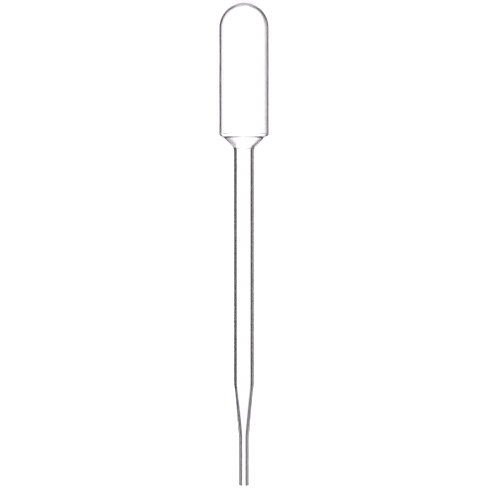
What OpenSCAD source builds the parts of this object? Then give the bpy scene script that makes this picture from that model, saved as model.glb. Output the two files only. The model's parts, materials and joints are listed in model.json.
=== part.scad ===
// One-piece squeeze-bulb transfer pipette, standing upright with its tip down.
// Millimetres. The origin is on the axis at the top of the stem, where the neck starts
// and where a rack's hole carries the pipette. +Z points to the crown of the bulb.
// The real object is one moulding. Each node is one section of it, and the two pressed
// walls of the bulb are separate solids so that they can move when the bulb is squeezed.

/* [Bulb] */
// Outside diameter of the squeeze bulb
bulb_d = 15.9; // [14:0.1:20]
// Wall of the bulb
bulb_wall = 0.4; // [0.3:0.05:0.8]
// Wall at the crown of the bulb's dome, where the moulding is thicker
crown_wall = 0.6; // [0.4:0.05:1.2]
// Straight length of the bulb, between its shoulder and its dome
bulb_straight = 34.2; // [30:0.1:45]

/* [Pressed walls] */
// Width of the wall under the thumb, and of the wall under the finger
press_width = 8.4; // [6:0.1:10]
// Height of the two pressed walls
press_height = 26; // [16:1:28]
// Gap round a pressed wall, which lets it move
press_gap = 0.04; // [0.02:0.01:0.1]

/* [Shoulder] */
// Height of the cone between the stem and the shoulder
cone_height = 3.3; // [2.5:0.1:5]
// Outside diameter at the top of the cone
cone_top_d = 12.8; // [12.4:0.1:13]
// Rise of the shoulder from the horizontal, in degrees
shoulder_slope = 28; // [15:1:40]
// Radius of the corner where the shoulder turns up into the bulb
shoulder_round = 0.9; // [0.7:0.05:1.2]

/* [Stem] */
// Outside diameter of the stem
stem_d = 6.6; // [6:0.1:8]
// Wall of the stem
stem_wall = 0.6; // [0.5:0.05:1.1]
// Length of the straight stem
stem_length = 75.4; // [50:0.1:100]

/* [Taper] */
// Length of the drawn taper between the stem and the tip
taper_length = 17; // [12:0.5:25]
// Height of the steeper band at each end of the taper
band_height = 2.1; // [1:0.1:3]
// How far each steeper band steps in
band_step = 0.3; // [0.1:0.05:0.4]

/* [Tip] */
// Length of the straight tip
tip_length = 15.8; // [10:0.1:25]
// Outside diameter of the tip
tip_d = 3.2; // [2.6:0.05:3.5]
// Diameter of the bore in the tip
tip_bore_d = 1.8; // [0.8:0.05:2]

/* [Hidden] */

$fn = 96;
past = 1;                     // how far a cutting solid runs past what it cuts
corner_steps = 6;             // straight pieces in the rounded corner of the shoulder
inner_slope = 23;             // rise of the shoulder's inner face, in degrees
inner_round = 1.1;            // radius of the shoulder's inner corner
inner_rise = 0.21;            // how far the inner corner is centred above the outer one
inner_knee_r = 6;             // where the inner face turns from the cone to the shoulder
inner_neck_z = 0.45;          // height up to which the bore stays as narrow as in the stem

bulb_r = bulb_d / 2;
cone_top_r = cone_top_d / 2;
stem_r = stem_d / 2;
bore_r = stem_r - stem_wall;
tip_r = tip_d / 2;
tip_bore_r = tip_bore_d / 2;

// The corner's arc touches the shoulder's slope below and the bulb's wall above.
corner_r = bulb_r - shoulder_round;
slope_end_r = corner_r + shoulder_round * sin(shoulder_slope);
slope_end_z = cone_height + (slope_end_r - cone_top_r) * tan(shoulder_slope);
bulb_z = slope_end_z + shoulder_round * cos(shoulder_slope);
dome_z = bulb_z + bulb_straight;
press_bottom = bulb_z + (bulb_straight - press_height) / 2;
press_top = press_bottom + press_height;
stem_bottom = -stem_length;
taper_bottom = stem_bottom - taper_length;
tip_end = taper_bottom - tip_length;

// Points of the round corner between a slope and the wall at wall_r, from the slope upwards
function corner(wall_r, z, slope, radius) = [
    for (i = [0 : corner_steps])
        let (a = (slope - 90) * (1 - i / corner_steps))
            [wall_r - radius * (1 - cos(a)), z + radius * sin(a)]
];

function reversed(list) = [for (i = [len(list) - 1 : -1 : 0]) list[i]];

// A solid turned from a half section of [radius, height] points
module turned(section) {
    rotate_extrude() polygon(section);
}

// A straight length of the bulb's wall
module bulb_ring(bottom, top) {
    difference() {
        translate([0, 0, bottom]) cylinder(h = top - bottom, r = bulb_r);
        translate([0, 0, bottom - past]) cylinder(h = top - bottom + 2 * past, r = bulb_r - bulb_wall);
    }
}

// A rod with a round top end, as the dome is outside and inside
module round_rod(bottom, centre, radius) {
    translate([0, 0, bottom]) cylinder(h = centre - bottom, r = radius);
    intersection() {
        translate([0, 0, centre]) sphere(r = radius);
        translate([0, 0, centre]) cylinder(h = radius + past, r = radius + past);
    }
}

// The pressed wall on the -Y side, and its twin turned half a turn
module pressed_wall() {
    intersection() {
        bulb_ring(press_bottom + press_gap, press_top - press_gap);
        translate([-press_width / 2, -bulb_r - past, press_bottom])
            cube([press_width, bulb_r + past, press_height]);
    }
}

// The side wall on the +X side, which folds but keeps its place when the bulb is squeezed
module fold_wall() {
    intersection() {
        bulb_ring(press_bottom, press_top);
        translate([press_width / 2 + press_gap, -bulb_r - past, press_bottom])
            cube([bulb_r + past, 2 * (bulb_r + past), press_height]);
    }
}

module tip() {
    color("gainsboro") difference() {
        translate([0, 0, tip_end]) cylinder(h = tip_length, r = tip_r);
        translate([0, 0, tip_end - past]) cylinder(h = tip_length + 2 * past, r = tip_bore_r);
    }
}

module taper() {
    color("gainsboro") turned([
        [tip_bore_r, taper_bottom],
        [tip_r, taper_bottom],
        [tip_r + band_step, taper_bottom + band_height],
        [stem_r - band_step, stem_bottom - band_height],
        [stem_r, stem_bottom],
        [bore_r, stem_bottom]
    ]);
}

module stem() {
    color("whitesmoke") difference() {
        translate([0, 0, stem_bottom]) cylinder(h = stem_length, r = stem_r);
        translate([0, 0, stem_bottom - past]) cylinder(h = stem_length + 2 * past, r = bore_r);
    }
}

module shoulder() {
    inner_corner = corner(bulb_r - bulb_wall, bulb_z + inner_rise, inner_slope, inner_round);
    knee_z = inner_corner[0][1] - (inner_corner[0][0] - inner_knee_r) * tan(inner_slope);
    color("gainsboro") turned(concat(
        [[bore_r, 0], [stem_r, 0], [cone_top_r, cone_height]],
        corner(bulb_r, bulb_z, shoulder_slope, shoulder_round),
        [[bulb_r, press_bottom], [bulb_r - bulb_wall, press_bottom]],
        reversed(inner_corner),
        [[inner_knee_r, knee_z], [bore_r, inner_neck_z]]
    ));
}

module right_fold_wall() {
    color("whitesmoke") fold_wall();
}

module left_fold_wall() {
    color("whitesmoke") rotate([0, 0, 180]) fold_wall();
}

module thumb_wall() {
    color("lightsteelblue") pressed_wall();
}

module finger_wall() {
    color("lightsteelblue") rotate([0, 0, 180]) pressed_wall();
}

module bulb_dome() {
    color("gainsboro") difference() {
        round_rod(press_top, dome_z, bulb_r);
        round_rod(press_top - past, dome_z - (crown_wall - bulb_wall), bulb_r - bulb_wall);
    }
}

tip();
taper();
stem();
shoulder();
left_fold_wall();
right_fold_wall();
thumb_wall();
finger_wall();
bulb_dome();
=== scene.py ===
import json
import math

import bpy
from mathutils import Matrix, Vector


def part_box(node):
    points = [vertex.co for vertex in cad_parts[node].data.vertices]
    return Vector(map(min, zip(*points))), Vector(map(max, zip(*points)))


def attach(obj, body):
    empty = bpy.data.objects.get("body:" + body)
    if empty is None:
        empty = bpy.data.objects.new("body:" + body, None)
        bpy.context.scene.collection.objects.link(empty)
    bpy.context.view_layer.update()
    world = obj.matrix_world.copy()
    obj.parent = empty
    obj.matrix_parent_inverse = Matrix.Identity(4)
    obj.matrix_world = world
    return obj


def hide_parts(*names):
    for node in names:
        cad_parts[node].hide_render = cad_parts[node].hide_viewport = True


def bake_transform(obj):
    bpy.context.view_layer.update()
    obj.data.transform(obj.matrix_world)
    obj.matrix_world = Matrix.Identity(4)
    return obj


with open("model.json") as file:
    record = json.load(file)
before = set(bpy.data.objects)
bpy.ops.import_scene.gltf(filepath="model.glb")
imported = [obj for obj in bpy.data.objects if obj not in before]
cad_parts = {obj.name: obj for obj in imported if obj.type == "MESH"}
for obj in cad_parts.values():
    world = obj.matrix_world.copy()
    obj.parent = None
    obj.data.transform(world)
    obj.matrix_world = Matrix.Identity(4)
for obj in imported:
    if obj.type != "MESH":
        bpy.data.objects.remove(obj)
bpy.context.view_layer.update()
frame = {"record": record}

MM = 0.001

# ---------------------------------------------------------------- sizes
# Read from the frame
tip_lo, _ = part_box("tip")
taper_lo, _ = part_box("taper")
stem_lo, stem_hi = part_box("stem")
wall_lo, wall_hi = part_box("left_fold_wall")
_, dome_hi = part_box("bulb_dome")
mount_radius = {mount["name"]: mount["dims"]["r_mm"] * MM for mount in frame["record"]["mounts"]}

TIP_R, TIP_BORE_R = mount_radius["tip_seat"], mount_radius["tip_bore"]
STEM_R = mount_radius["stem_seat"]
BULB_R = dome_hi.x
TIP_END_Z, TAPER_Z, STEM_Z, NECK_Z = tip_lo.z, taper_lo.z, stem_lo.z, stem_hi.z
CROWN_Z = dome_hi.z
PRESS_MID_Z = (wall_lo.z + wall_hi.z) / 2

# Walls, as in the CAD
STEM_WALL, BULB_WALL, CROWN_WALL = 0.6 * MM, 0.4 * MM, 0.6 * MM
BORE_R = STEM_R - STEM_WALL
BULB_IN_R = BULB_R - BULB_WALL
DOME_Z = CROWN_Z - BULB_R
IN_DOME_Z = DOME_Z - (CROWN_WALL - BULB_WALL)

# Taper, cone and shoulder, as in the CAD. Names with IN_ belong to the inner face.
BAND_HEIGHT, BAND_STEP = 2.1 * MM, 0.3 * MM
CONE_TOP_R, CONE_HEIGHT = 6.4 * MM, 3.3 * MM
IN_KNEE_R, IN_NECK_Z = 6.0 * MM, 0.45 * MM
SHOULDER_SLOPE, SHOULDER_ROUND = math.radians(28), 0.9 * MM
IN_SLOPE, IN_ROUND, IN_RISE = math.radians(23), 1.1 * MM, 0.21 * MM
# The bore narrows almost evenly: this is how much of that lies in the height of each steeper band outside
IN_BAND_STEP = 0.12 * (BORE_R - TIP_BORE_R)

# Rounded edges that the CAD leaves sharp
RIM_ROUND = 0.12 * MM
BAND_ROUND = 6.0 * MM
NECK_ROUND, KNEE_ROUND = 1.2 * MM, 0.8 * MM
IN_NECK_ROUND, IN_KNEE_ROUND = 1.8 * MM, 0.5 * MM

# How finely the skins are turned: steps round the axis, in each rounded edge, in the dome, and in each
# straight line of the half section from the tip up
TURN_STEPS = 128
ARC_STEPS = 8
DOME_STEPS = 32
LINE_STEPS = (12, 3, 12, 3, 40, 4, 3, 34)


# ---------------------------------------------------------------- the half section
def corner_arc(before, here, after, radius):
    """Points of the arc that rounds the corner at here, between the lines to before and to after."""
    back, ahead = (before - here).normalized(), (after - here).normalized()
    half = math.acos(max(-1.0, min(1.0, back.dot(ahead)))) / 2
    reach = radius / math.tan(half)
    centre = here + (back + ahead).normalized() * (radius / math.sin(half))
    first, last = here + back * reach - centre, here + ahead * reach - centre
    turn = math.pi - 2 * half
    points = []
    for k in range(ARC_STEPS + 1):
        share = k / ARC_STEPS
        spoke = first * math.sin((1 - share) * turn) + last * math.sin(share * turn)
        points.append(centre + spoke / math.sin(turn))
    return points


def rounded(points, rounds):
    """The polyline through (radius, height) points, with each corner between its ends rounded, and with its
    straight lines cut into LINE_STEPS."""
    points = [Vector(point) for point in points]
    out = [points[0]]
    for i, steps in enumerate(LINE_STEPS):
        if i < len(rounds):
            arc = corner_arc(points[i], points[i + 1], points[i + 2], rounds[i])
        else:
            arc = [points[i + 1]]
        start = out[-1]
        out += [start.lerp(arc[0], k / steps) for k in range(1, steps)]
        out += arc
    return out


def rim_arc(radius, towards_wall):
    """The rounded edge of the tip's end face, from the face up to the straight wall."""
    points = []
    for k in range(ARC_STEPS):
        angle = k / ARC_STEPS * math.pi / 2
        inset = RIM_ROUND * (1 - math.sin(angle))
        rise = RIM_ROUND * (1 - math.cos(angle))
        points.append(Vector((radius + towards_wall * inset, TIP_END_Z + rise)))
    return points


def dome_arc(radius, centre_z):
    """The quarter circle from the top of the bulb's straight wall to the axis."""
    angles = [k / DOME_STEPS * math.pi / 2 for k in range(1, DOME_STEPS + 1)]
    points = [Vector((radius * math.cos(angle), centre_z + radius * math.sin(angle))) for angle in angles]
    points[-1].x = 0.0
    return points


def shoulder_height(radius, wall_r, slope, corner_round, corner_z):
    """Height at radius of the shoulder's slope, which touches the round corner under the wall at wall_r. The
    corner turns into the wall at corner_z."""
    end_r = wall_r - corner_round * (1 - math.sin(slope))
    end_z = corner_z - corner_round * math.cos(slope)
    return end_z + (radius - end_r) * math.tan(slope)


def face_line(towards_wall, tip_r, band_step, stem_r, neck, knee, knee_round, shoulder, dome_z):
    """One face of the wall as (radius, height) points, from the tip's rim to the crown. neck is the height
    and the round where the stem turns into the cone, and shoulder is what shoulder_height() takes."""
    neck_z, neck_round = neck
    bulb_r, _, corner_round, _ = shoulder
    points = [
        (tip_r, TIP_END_Z + RIM_ROUND),
        (tip_r, TAPER_Z),
        (tip_r + band_step, TAPER_Z + BAND_HEIGHT),
        (stem_r - band_step, STEM_Z - BAND_HEIGHT),
        (stem_r, STEM_Z),
        (stem_r, neck_z),
        knee,
        (bulb_r, shoulder_height(bulb_r, *shoulder)),
        (bulb_r, dome_z),
    ]
    rounds = [BAND_ROUND] * 4 + [neck_round, knee_round, corner_round]
    return rim_arc(tip_r, towards_wall) + rounded(points, rounds) + dome_arc(bulb_r, dome_z)


def normals_of(points, side):
    """Unit normals of a half section's points. side is 1 for the outer face and -1 for the inner one."""
    normals = []
    for i in range(len(points)):
        before, after = points[max(i - 1, 0)], points[min(i + 1, len(points) - 1)]
        along = (after - before).normalized()
        normals.append(Vector((along.y, -along.x)) * side)
    normals[-1] = Vector((0, side))
    return normals


CORNER_Z = CONE_HEIGHT - shoulder_height(CONE_TOP_R, BULB_R, SHOULDER_SLOPE, SHOULDER_ROUND, 0.0)
SHOULDER = BULB_R, SHOULDER_SLOPE, SHOULDER_ROUND, CORNER_Z
IN_SHOULDER = BULB_IN_R, IN_SLOPE, IN_ROUND, CORNER_Z + IN_RISE

outer = face_line(
    towards_wall=-1,
    tip_r=TIP_R,
    band_step=BAND_STEP,
    stem_r=STEM_R,
    neck=(NECK_Z, NECK_ROUND),
    knee=(CONE_TOP_R, CONE_HEIGHT),
    knee_round=KNEE_ROUND,
    shoulder=SHOULDER,
    dome_z=DOME_Z,
)
inner = face_line(
    towards_wall=1,
    tip_r=TIP_BORE_R,
    band_step=IN_BAND_STEP,
    stem_r=BORE_R,
    neck=(IN_NECK_Z, IN_NECK_ROUND),
    knee=(IN_KNEE_R, shoulder_height(IN_KNEE_R, *IN_SHOULDER)),
    knee_round=IN_KNEE_ROUND,
    shoulder=IN_SHOULDER,
    dome_z=IN_DOME_Z,
)
lines = outer, inner
line_normals = normals_of(outer, 1), normals_of(inner, -1)
OUTER, INNER = 0, 1
CROWN_STATION = len(outer) - 1


def station(height):
    """The index of the half section's point whose outer height is nearest."""
    return min(range(len(outer)), key=lambda i: abs(outer[i].y - height))


# ---------------------------------------------------------------- materials
# Index of refraction of the plastic
IOR = 1.5
# Waves a metre along X, Y and Z, and how deep they are
WAVES, WAVE_DEPTH = (180, 180, 50), 0.04 * MM
# Patches of haze a metre along X, Y and Z, and the roughness of full haze
HAZE_PATCHES, HAZE = (150, 150, 90), 0.03
# The noise where the haze starts, and where it is full
HAZE_FROM, HAZE_TO = 0.4, 0.7


def clear_plastic():
    """Clear moulded plastic: soft waves drawn out along the length, and a faint haze that comes and goes."""
    material = bpy.data.materials.new("clear_plastic")
    material.use_nodes = True
    tree = material.node_tree
    add, link = tree.nodes.new, tree.links.new
    shader = tree.nodes["Principled BSDF"]
    shader.inputs["Base Color"].default_value = (1, 1, 1, 1)
    shader.inputs["IOR"].default_value = IOR
    shader.inputs["Transmission Weight"].default_value = 1.0
    coords = add("ShaderNodeTexCoord")

    def noise(scale, detail):
        """Noise with the given number of waves a metre along X, Y and Z."""
        stretch = add("ShaderNodeMapping")
        stretch.inputs["Scale"].default_value = scale
        link(coords.outputs["Object"], stretch.inputs["Vector"])
        node = add("ShaderNodeTexNoise")
        node.inputs["Scale"].default_value = 1.0
        node.inputs["Detail"].default_value = detail
        link(stretch.outputs["Vector"], node.inputs["Vector"])
        return node.outputs["Fac"]

    bump = add("ShaderNodeBump")
    bump.inputs["Strength"].default_value = 1.0
    bump.inputs["Distance"].default_value = WAVE_DEPTH
    link(noise(WAVES, detail=1.0), bump.inputs["Height"])
    link(bump.outputs["Normal"], shader.inputs["Normal"])
    haze = add("ShaderNodeMapRange")
    link(noise(HAZE_PATCHES, detail=2.0), haze.inputs["Value"])
    haze.inputs["From Min"].default_value = HAZE_FROM
    haze.inputs["From Max"].default_value = HAZE_TO
    haze.inputs["To Min"].default_value = 0.0
    haze.inputs["To Max"].default_value = HAZE
    link(haze.outputs["Result"], shader.inputs["Roughness"])
    return material


def pass_through():
    """For the faces where two skins meet inside the one moulding, which light doesn't notice."""
    material = bpy.data.materials.new("section_face")
    material.use_nodes = True
    tree = material.node_tree
    tree.nodes.clear()
    see = tree.nodes.new("ShaderNodeBsdfTransparent")
    output = tree.nodes.new("ShaderNodeOutputMaterial")
    tree.links.new(see.outputs[0], output.inputs["Surface"])
    return material


# A skin's materials, and their places in its list
skin_materials = clear_plastic(), pass_through()
PLASTIC, MEETING = 0, 1


# ---------------------------------------------------------------- skins
def turned_skin(name, low, high, first_step=0, steps=TURN_STEPS):
    """A closed piece of the wall between two stations, turned from first_step through so many of TURN_STEPS.
    The faces where it meets its neighbours have the second material."""
    vertices, vertex_normals, faces, slots = [], [], [], []
    whole = steps == TURN_STEPS
    columns = steps if whole else steps + 1
    index = {}

    def vertex(line, i, j):
        """The vertex at station i of a line in column j, made the first time it is asked for."""
        point, normal = lines[line][i], line_normals[line][i]
        column = 0 if point.x == 0 else j % columns
        key = line, i, column
        if key not in index:
            index[key] = len(vertices)
            angle = 2 * math.pi * (first_step + column) / TURN_STEPS
            cos, sin = math.cos(angle), math.sin(angle)
            vertices.append((point.x * cos, point.x * sin, point.y))
            vertex_normals.append((normal.x * cos, normal.x * sin, normal.y))
        return index[key]

    def face(slot, *corners):
        """A face between (line, station, column) corners, a triangle where two of them meet on the axis."""
        faces.append(list(dict.fromkeys(vertex(*corner) for corner in corners)))
        slots.append(slot)

    for j in range(steps):
        for i in range(low, high):
            face(PLASTIC, (OUTER, i, j), (OUTER, i, j + 1), (OUTER, i + 1, j + 1), (OUTER, i + 1, j))
            face(PLASTIC, (INNER, i, j), (INNER, i + 1, j), (INNER, i + 1, j + 1), (INNER, i, j + 1))
        low_slot = PLASTIC if low == 0 else MEETING
        face(low_slot, (OUTER, low, j), (INNER, low, j), (INNER, low, j + 1), (OUTER, low, j + 1))
        if high < CROWN_STATION:
            face(MEETING, (OUTER, high, j), (OUTER, high, j + 1), (INNER, high, j + 1), (INNER, high, j))
    if not whole:
        for i in range(low, high):
            face(MEETING, (OUTER, i, 0), (OUTER, i + 1, 0), (INNER, i + 1, 0), (INNER, i, 0))
            face(MEETING, (OUTER, i, steps), (INNER, i, steps), (INNER, i + 1, steps), (OUTER, i + 1, steps))

    mesh = bpy.data.meshes.new(name)
    mesh.from_pydata(vertices, [], faces)
    for material in skin_materials:
        mesh.materials.append(material)
    mesh.polygons.foreach_set("material_index", slots)
    mesh.polygons.foreach_set("use_smooth", [slot == PLASTIC for slot in slots])
    mesh.update()
    corner_normals = [
        vertex_normals[v] if polygon.use_smooth else tuple(polygon.normal)
        for polygon in mesh.polygons
        for v in polygon.vertices
    ]
    mesh.normals_split_custom_set(corner_normals)
    piece = bpy.data.objects.new(name, mesh)
    bpy.context.collection.objects.link(piece)
    return piece


# ---------------------------------------------------------------- the skins below the bulb
# The neck's skin starts at the station nearest to this far below the cone, where its round begins
NECK_START = 1.0 * MM
taper_station, stem_station = station(TAPER_Z), station(STEM_Z)
neck_station, knee_station = station(NECK_Z - NECK_START), station(CONE_HEIGHT)

for name, low, high, node in (
    ("tip_skin", 0, taper_station, "tip"),
    ("taper_skin", taper_station, stem_station, "taper"),
    ("stem_skin", stem_station, neck_station, "stem"),
    ("neck_skin", neck_station, knee_station, "shoulder"),
):
    piece = turned_skin(name, low, high)
    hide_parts(node)
    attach(piece, "moulding")

# ---------------------------------------------------------------- the bulb
# Heights above and below the press's middle height at which the bulb's skins are cut into levels, each with a
# share of the height climbed
BANDS = ((0.0, 0.0), (4.0 * MM, 0.3), (9.0 * MM, 0.6))
# Each level of skins: its name, its band, and upward, which is 1 above the press's middle height and -1 below
LEVELS = (("foot", 2, -1), ("lower", 1, -1), ("middle", 0, 1), ("upper", 1, 1), ("top", 2, 1))
HALF_TURN = TURN_STEPS // 2
# Each side of the bulb: its name, its first turning step, outward, which is its direction along Y, its
# pressed wall and its side wall
SIDES = (
    ("front", HALF_TURN, -1, "thumb_wall", "left_fold_wall"),
    ("back", 0, 1, "finger_wall", "right_fold_wall"),
)


def press(piece):
    """Applies a skin's transform to its mesh; the skin isn't bent."""
    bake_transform(piece)


band_heights = [height for height, _ in BANDS[1:]]
cuts = [-height for height in reversed(band_heights)] + band_heights
level_ends = [knee_station, *(station(PRESS_MID_Z + z) for z in cuts), CROWN_STATION]

for side, first_step, outward, wall, fold in SIDES:
    for (level, band, upward), low, high in zip(LEVELS, level_ends, level_ends[1:]):
        piece = turned_skin(f"bulb_{side}_{level}", low, high, first_step, HALF_TURN)
        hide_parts(wall, fold, "bulb_dome" if upward > 0 else "shoulder")
        press(piece)

# ---------------------------------------------------------------- studio
# How bright the surroundings are. The camera sees plain WHITE, and the other numbers are shares of it.
WHITE, OVERHEAD, UNDERNEATH = 1.3, 0.45, 0.6
# The shares of red, green and blue in the light, a trace purple. WHITE is bright enough to stay pure white.
TINT = (1.0, 0.96, 1.0)

# Rings of bright and dark cards, as (degrees clockwise from +Y seen from above, share of WHITE)
BELOW = (
    (-150, 0.2), (-125, 0.2), (-108, 0.0), (-98, 0.3), (-90, 0.75), (-82, 0.3), (-67, 0.0), (-62, 1.0),
    (-33, 1.0), (-28, 0.3), (-16, 0.34), (-6, 0.42), (-1, 0.6), (2, 0.95), (10, 0.95), (15, 0.25), (26, 0.05),
    (40, 0.0), (58, 0.35), (90, 0.1), (119, 0.0), (123, 1.0), (147, 1.0), (151, 0.0), (180, 0.0),
)
LOW = (
    (-150, 0.2), (-125, 0.2), (-108, 0.1), (-98, 1.0), (-82, 1.0), (-72, 0.0), (-30, 0.1), (-24, 0.3),
    (-16, 0.38), (-6, 0.4), (-1, 0.62), (3, 0.95), (14, 0.95), (20, 0.6), (28, 0.1), (40, 0.0), (60, 0.2),
    (90, 0.1), (119, 0.0), (123, 1.0), (147, 1.0), (151, 0.0), (180, 0.0),
)
LEVEL = (
    (-180, 0.8), (-128, 0.8), (-123, 0.2), (-101, 0.2), (-98, 1.0), (-82, 1.0), (-79, 0.25), (-57, 0.25),
    (-52, 0.0), (-34, 0.0), (-28, 0.05), (-15.5, 0.03), (-12, 1.0), (7, 1.0), (9, 0.65), (12, 0.5), (15, 0.0),
    (30, 0.0), (34, 0.45), (46, 0.45), (50, 0.0), (72, 0.0), (90, 0.1), (100, 0.2), (118, 0.3), (122, 1.0),
    (148, 1.0), (152, 0.0), (172, 0.0), (180, 0.8),
)
HIGH = (
    (-180, 0.5), (-90, 0.5), (-60, 0.1), (-16, 0.05), (-12, 0.4), (12, 0.4), (16, 0.05), (60, 0.1), (90, 0.5),
    (180, 0.5),
)
# Each ring takes over from what is under it between two heights, as the Z of a unit direction
RING_HEIGHTS = ((-0.75, -0.6, BELOW), (-0.23, -0.19, LOW), (-0.26, -0.05, LEVEL), (0.26, 0.34, HIGH))
OVERHEAD_HEIGHTS = 0.70, 0.85


def surroundings():
    """A white world to the camera, and the studio's rings of cards to all other rays."""
    studio = bpy.data.worlds.new("studio")
    bpy.context.scene.world = studio
    studio.use_nodes = True
    tree = studio.node_tree
    tree.nodes.clear()
    add, link = tree.nodes.new, tree.links.new

    def feed(socket, value):
        """Sets a socket to a number, or links it to another node's output."""
        if isinstance(value, (int, float)):
            socket.default_value = value
        else:
            link(value, socket)

    def math_node(operation, *values):
        node = add("ShaderNodeMath")
        node.operation = operation
        for socket, value in zip(node.inputs, values):
            feed(socket, value)
        return node.outputs[0]

    def step(value, start, end, before, after):
        """A smooth step from before to after, as value goes from start to end."""
        node = add("ShaderNodeMapRange")
        node.interpolation_type = "SMOOTHSTEP"
        numbers = {"Value": value, "From Min": start, "From Max": end, "To Min": before, "To Max": after}
        for name, number in numbers.items():
            feed(node.inputs[name], number)
        return node.outputs[0]

    def ring(turn, stops):
        """The brightness round the horizon. turn goes from 0 at -180 degrees to 1 at 180."""
        node = add("ShaderNodeValToRGB")
        link(turn, node.inputs[0])
        elements = node.color_ramp.elements
        while len(elements) < len(stops):
            elements.new(0.5)
        for element, (degrees, share) in zip(elements, stops):
            element.position = degrees / 360 + 0.5
            element.color = (share, share, share, 1)
        return node.outputs["Color"]

    coords = add("ShaderNodeTexCoord")
    direction = add("ShaderNodeSeparateXYZ")
    link(coords.outputs["Generated"], direction.inputs[0])
    azimuth = math_node("ARCTAN2", direction.outputs["X"], direction.outputs["Y"])
    turn = math_node("MULTIPLY_ADD", azimuth, 0.5 / math.pi, 0.5)
    z = direction.outputs["Z"]
    light = UNDERNEATH
    for start, end, stops in RING_HEIGHTS:
        light = step(z, start, end, light, ring(turn, stops))
    light = step(z, *OVERHEAD_HEIGHTS, light, OVERHEAD)
    light = math_node("MULTIPLY", light, WHITE)
    path = add("ShaderNodeLightPath")
    seen = step(path.outputs["Is Camera Ray"], 0.0, 1.0, light, WHITE)
    colour = add("ShaderNodeCombineColor")
    for channel, share in zip(("Red", "Green", "Blue"), TINT):
        link(math_node("MULTIPLY", seen, share), colour.inputs[channel])
    background = add("ShaderNodeBackground")
    link(colour.outputs[0], background.inputs["Color"])
    output = add("ShaderNodeOutputWorld")
    link(background.outputs[0], output.inputs["Surface"])


# The floor is a disc a little under the tip, which glows so that it is evenly white
FLOOR_R, FLOOR_SIDES, FLOOR_GAP = 0.6, 64, 0.5 * MM
FLOOR_COLOUR, FLOOR_ROUGHNESS, FLOOR_GLOW = (0.9, 0.9, 0.9, 1), 0.8, 1.0


def floor():
    """A white floor that only the camera sees, so that it doesn't change what the plastic bends into view."""
    mesh = bpy.data.meshes.new("floor")
    angles = [2 * math.pi * k / FLOOR_SIDES for k in range(FLOOR_SIDES)]
    z = TIP_END_Z - FLOOR_GAP
    edge = [(FLOOR_R * math.cos(angle), FLOOR_R * math.sin(angle), z) for angle in angles]
    mesh.from_pydata(edge, [], [range(FLOOR_SIDES)])
    disc = bpy.data.objects.new("floor", mesh)
    bpy.context.collection.objects.link(disc)
    material = bpy.data.materials.new("floor_white")
    material.use_nodes = True
    shader = material.node_tree.nodes["Principled BSDF"]
    shader.inputs["Base Color"].default_value = FLOOR_COLOUR
    shader.inputs["Roughness"].default_value = FLOOR_ROUGHNESS
    shader.inputs["Emission Color"].default_value = (1, 1, 1, 1)
    shader.inputs["Emission Strength"].default_value = FLOOR_GLOW
    mesh.materials.append(material)
    for ray in ("diffuse", "glossy", "transmission", "volume_scatter", "shadow"):
        setattr(disc, "visible_" + ray, False)


def softbox(name, place, size, watts):
    """A square area light that faces the origin."""
    data = bpy.data.lights.new(name, "AREA")
    data.size, data.energy = size, watts
    lamp = bpy.data.objects.new(name, data)
    bpy.context.collection.objects.link(lamp)
    lamp.location = place
    lamp.rotation_euler = (-Vector(place)).to_track_quat("-Z", "Y").to_euler()


# A long lens
LENS_MM, SENSOR_MM = 200, 36
# The pipette's share of the picture's height
FILL = 0.98955
# The camera stands this far to the right of the axis
CAMERA_X = 0.02 * MM


def camera():
    """The camera in front of the pipette, level with its middle, which looks along +Y."""
    data = bpy.data.cameras.new("camera")
    data.lens, data.sensor_width = LENS_MM, SENSOR_MM
    cam = bpy.data.objects.new("camera", data)
    bpy.context.collection.objects.link(cam)
    distance = (CROWN_Z - TIP_END_Z) / FILL * LENS_MM / SENSOR_MM
    cam.location = (CAMERA_X, -distance, (CROWN_Z + TIP_END_Z) / 2)
    cam.rotation_euler = (math.pi / 2, 0, 0)
    bpy.context.scene.camera = cam


surroundings()
floor()
softbox("top_softbox", place=(0.1, 0.1, 0.9), size=0.5, watts=4)
camera()
bpy.context.scene.view_settings.view_transform = "Standard"
